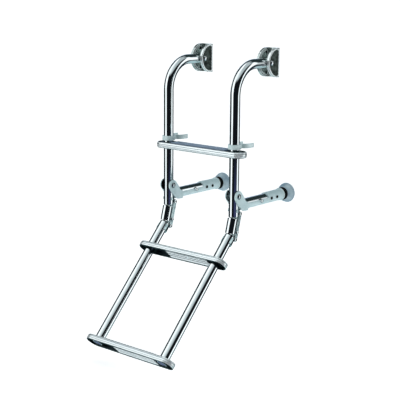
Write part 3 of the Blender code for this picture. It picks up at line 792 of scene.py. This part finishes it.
def add_cheek(side, x, face, word):
    """A cheek's cast recess, made near black with painted shade, and the beaded rim round it, pale with a
    painted highlight.
    """
    node = "mount_bracket_" + side
    work = bmesh.new()
    rings = []
    for inset, offset in RECESS:
        rings.append([work.verts.new((x + face * offset, y, z)) for y, z in d_outline(inset)])
    bridge(work, rings)
    work.faces.new(rings[-1])
    add_piece("cheek_recess_%s_%s" % (side, word), work, CAST_RECESS_SHADE, node, TURNED_SMOOTH_ANGLE)
    work = bmesh.new()
    bead(work, x + face * OUTER_FACE_X, face, inset=0.0002, width=0.0036, rise=0.0012, scallop=0.0012)
    add_piece("cheek_rim_%s_%s" % (side, word), work, RIM_HIGHLIGHT_STEEL, node, TURNED_SMOOTH_ANGLE)


def add_mount_details():
    """Both cheeks, the two beads inside the far one with their painted highlight, its holes as discs of
    painted shade and the screws in the base plate.
    """
    hole = [(0, 0.0001), (0.0026, 0.0002), (0.0030, 0.0004), (0.0030, -0.0004), (0, -0.0004)]
    screw = [(0, 0.0016), (0.0016, 0.0016), (0.0018, 0.0024), (0.0030, 0.0023), (0.0046, 0.0014),
             (0.0052, 0.0002), (0.0030, 0.0001), (0, 0.0001)]
    for side, x in SIDES:
        node = "mount_bracket_" + side
        for face, word in FACES:
            add_cheek(side, x, face, word)
        work = bmesh.new()
        bead(work, x + INNER_FACE_X, 1, inset=0.0004, width=0.0016, rise=0.0009)
        bead(work, x + INNER_FACE_X, 1, inset=0.0042, width=0.0024, rise=0.0010)
        add_piece("far_cheek_rim_" + side, work, RIM_HIGHLIGHT_STEEL, node, TURNED_SMOOTH_ANGLE)
        # Painted shade: a flat near-black disc for each hole in the far cheek.
        for index, z in enumerate(HOLE_HEIGHTS):
            add_turned("cheek_hole_%s_%d" % (side, index), hole, (x + HOLE_X, HOLE_Y, z), AXIS_X,
                       DARK_PLASTIC, node, SMALL_ROUND)
        for index, z in enumerate(SCREW_HEIGHTS):
            add_turned("mount_screw_%s_%d" % (side, index), screw, (x, SCREW_Y, z), -AXIS_Y,
                       BOLT_STEEL, node, MIDDLE_ROUND)


# ---------------------------------------------------------------- finishes and rounded edges of the CAD nodes

EDGE_ROUNDS = {"mount_bracket": 0.0009, "arm_clip": 0.0008, "arm_body": 0.0008, "upper_saddle": 0.0005,
               "lower_saddle": 0.0005, "link_bracket": 0.0006, "pivot_nut": 0.0006, "arm_nut": 0.0005}


def soften(node, width):
    """Welds a CAD node's split edges and rounds its sharp ones."""
    weld = node.modifiers.new("weld", "WELD")
    weld.merge_threshold = 0.00002
    bevel = node.modifiers.new("round", "BEVEL")
    bevel.width = width
    bevel.segments = 3
    bevel.limit_method = "ANGLE"
    bevel.angle_limit = math.radians(35)
    bevel.harden_normals = False
    bevel.use_clamp_overlap = True


def paint_rim_highlight(name, node):
    """Gives the edge faces of a bracket's near cheek the pale steel of its rims, a painted highlight."""
    node.data.materials.append(RIM_HIGHLIGHT_STEEL)
    middle_x = middle_of(name).x
    for face in node.data.polygons:
        if face.center.x - middle_x > RIM_FROM_X and abs(face.normal.x) < 0.5:
            face.material_index = 1


def finish_nodes():
    for name, node in NODES.items():
        family = family_of(name)
        node.data.materials.clear()
        node.data.materials.append(FINISHES[family])
        if family in EDGE_ROUNDS:
            soften(node, EDGE_ROUNDS[family])
        if family == "mount_bracket":
            paint_rim_highlight(name, node)


# ---------------------------------------------------------------- floor, light and camera

CAMERA_AT = Vector((1.4706, -1.8703, 0.1827))
CAMERA_BACK = Vector((0.6320, -0.7458, 0.2103)).normalized()
CAMERA_ROLL = math.radians(0.45)
CAMERA_LENS = 93.02
TOWARDS_CAMERA = Vector((CAMERA_BACK.x, CAMERA_BACK.y, 0)).normalized()
TOWARDS_RIGHT = Vector((-TOWARDS_CAMERA.y, TOWARDS_CAMERA.x, 0))
LADDER_MIDDLE = Vector((0, -0.15, -0.3))
FLOOR_R = 14
FLOOR_GAP = 0.03
BACKDROP = (1.1, 1.1, 1.1, 1)


def add_camera():
    data = bpy.data.cameras.new("camera")
    data.lens = CAMERA_LENS
    data.sensor_width = 36.0
    data.clip_end = 100
    camera = bpy.data.objects.new("camera", data)
    bpy.context.scene.collection.objects.link(camera)
    right = AXIS_Z.cross(CAMERA_BACK).normalized()
    up = CAMERA_BACK.cross(right)
    turn = Matrix((right, up, CAMERA_BACK)).transposed().to_4x4()
    camera.matrix_world = Matrix.Translation(CAMERA_AT) @ turn @ Matrix.Rotation(CAMERA_ROLL, 4, "Z")
    bpy.context.scene.camera = camera


def add_floor():
    work = bmesh.new()
    bmesh.ops.create_circle(work, cap_ends=True, segments=96, radius=FLOOR_R)
    mesh = bpy.data.meshes.new("floor")
    work.to_mesh(mesh)
    work.free()
    floor = bpy.data.objects.new("floor", mesh)
    bpy.context.scene.collection.objects.link(floor)
    floor.location = (0, 0, CAD_BOX[0][2] - FLOOR_GAP)
    paint = Nodes("floor_paint")
    paint.set(Base_Color=paint.ramp(paint.noise(6.0, 3.0), (0.90, 0.90, 0.90), (0.93, 0.93, 0.93)),
              Roughness=0.9, Emission_Color=(1, 1, 1, 1), Emission_Strength=0.62)
    floor.data.materials.append(paint.material)
    floor.visible_glossy = False


def soft_light(name, azimuth, elevation, distance, size, power):
    """A square area light aimed at the ladder; azimuth goes from the camera's side, positive to its right."""
    data = bpy.data.lights.new(name, "AREA")
    data.shape = "RECTANGLE"
    data.size = size
    data.size_y = size
    data.energy = power
    lamp = bpy.data.objects.new(name, data)
    bpy.context.scene.collection.objects.link(lamp)
    a, e = math.radians(azimuth), math.radians(elevation)
    level = TOWARDS_CAMERA * math.cos(a) + TOWARDS_RIGHT * math.sin(a)
    out = level * math.cos(e) + AXIS_Z * math.sin(e)
    lamp.location = LADDER_MIDDLE + out * distance
    lamp.rotation_euler = out.to_track_quat("Z", "Y").to_euler()
    lamp.visible_glossy = False


class Studio:
    """The world's node tree, with short calls for masks over directions and for colours."""

    def __init__(self, name):
        self.world = bpy.data.worlds.new(name)
        self.world.use_nodes = True
        self.tree = self.world.node_tree
        self.direction = self.tree.nodes.new("ShaderNodeTexCoord").outputs["Generated"]

    def join(self, value, socket):
        """Links a socket to another, or gives it a number or a colour."""
        if hasattr(value, "is_linked"):
            self.tree.links.new(value, socket)
        else:
            socket.default_value = value

    def calculate(self, operation, *inputs):
        node = self.tree.nodes.new("ShaderNodeMath")
        node.operation = operation
        for socket, value in zip(node.inputs, inputs):
            self.join(value, socket)
        return node.outputs[0]

    def along(self, vector):
        node = self.tree.nodes.new("ShaderNodeVectorMath")
        node.operation = "DOT_PRODUCT"
        self.join(self.direction, node.inputs[0])
        self.join(vector, node.inputs[1])
        return node.outputs["Value"]

    def rise(self, value, start, end):
        """A mask that goes smoothly from 0 at start to 1 at end."""
        node = self.tree.nodes.new("ShaderNodeMapRange")
        node.interpolation_type = "SMOOTHSTEP"
        self.join(value, node.inputs["Value"])
        self.join(start, node.inputs["From Min"])
        self.join(end, node.inputs["From Max"])
        return node.outputs["Result"]

    def fall(self, value, start, end):
        """A mask that goes smoothly from 1 at start to 0 at end."""
        return self.calculate("SUBTRACT", 1.0, self.rise(value, start, end))

    def product(self, first, *others):
        for other in others:
            first = self.calculate("MULTIPLY", first, other)
        return first

    def blend(self, factor, first, second):
        node = self.tree.nodes.new("ShaderNodeMix")
        node.data_type = "RGBA"
        self.join(factor, node.inputs["Factor"])
        for key, value in (("A", first), ("B", second)):
            self.join(value, node.inputs[key])
        return node.outputs["Result"]


WHITE = (1.30, 1.37, 1.39, 1)
GREY = (0.50, 0.57, 0.59, 1)
PALE = (0.42, 0.60, 0.63, 1)
BLACK = (0.006, 0.008, 0.010, 1)
NAVY = (0.016, 0.024, 0.038, 1)
SHADE = (0.020, 0.034, 0.036, 1)
SKY_BLUE = (0.50, 0.62, 0.78, 1)
DEEP_BLUE = (0.045, 0.055, 0.13, 1)


def add_world():
    """A studio that lights the ladder and shows in its steel. The camera sees a plain pale backdrop."""
    studio = Studio("studio")
    rise, fall, product, blend = studio.rise, studio.fall, studio.product, studio.blend
    bpy.context.scene.world = studio.world

    # Angles in degrees: height over the horizon, and azimuth from the camera's side, positive to its right.
    height = studio.calculate("MULTIPLY", studio.calculate("ARCSINE", studio.along(AXIS_Z)), 180 / math.pi)
    across = studio.calculate("ARCTAN2", studio.along(TOWARDS_RIGHT), studio.along(TOWARDS_CAMERA))
    azimuth = studio.calculate("MULTIPLY", across, 180 / math.pi)
    climb = studio.calculate("ADD", height, 12.0)

    # The dark wall on the camera's side, whose right edge leans over as it climbs.
    lean = studio.calculate("SUBTRACT", azimuth, product(climb, 0.6))
    front = product(rise(azimuth, -53, -45), fall(lean, 64, 72), fall(height, 34, 50))
    low_blue = product(rise(azimuth, -6, 16), fall(height, -12.5, -9.5))

    # The dark wall behind the ladder, with a blue window in its middle.
    left = studio.calculate("SUBTRACT", product(azimuth, -1.0), product(climb, 0.55))
    right = studio.calculate("SUBTRACT", azimuth, product(climb, 0.08))
    either = studio.calculate("MAXIMUM", rise(left, 80, 88), rise(right, 98, 105))
    back = product(either, fall(height, 52, 66), rise(height, -34, -24))
    off = studio.calculate("ABSOLUTE", azimuth)
    window = product(rise(off, 150, 165), rise(height, 2, 8), fall(height, 20, 30))

    # Grey overhead to the right, pale below and dark straight down.
    ceiling = product(rise(height, 30, 42), rise(azimuth, -115, 40))
    floor = fall(height, -34, -20)
    pit = fall(height, -66, -52)

    # Bright walls to each side are what the masks leave.
    colour = blend(ceiling, WHITE, GREY)
    colour = blend(floor, colour, PALE)
    colour = blend(pit, colour, SHADE)
    colour = blend(back, colour, blend(rise(height, -30, 5), NAVY, SHADE))
    colour = blend(window, colour, SKY_BLUE)
    colour = blend(front, colour, blend(low_blue, BLACK, DEEP_BLUE))
    seen = studio.tree.nodes.new("ShaderNodeLightPath").outputs["Is Camera Ray"]
    background = studio.tree.nodes["Background"]
    studio.join(blend(seen, colour, BACKDROP), background.inputs["Color"])


# ---------------------------------------------------------------- the scene

add_steps()
add_turned_parts()
add_arm_details()
add_mount_details()
finish_nodes()
add_tubes()

bpy.context.scene.view_settings.view_transform = "Standard"
add_camera()
add_floor()
add_world()
soft_light("key", azimuth=60, elevation=50, distance=2.6, size=1.4, power=10)
soft_light("fill", azimuth=-70, elevation=25, distance=2.8, size=1.6, power=4)

bpy.context.view_layer.update()
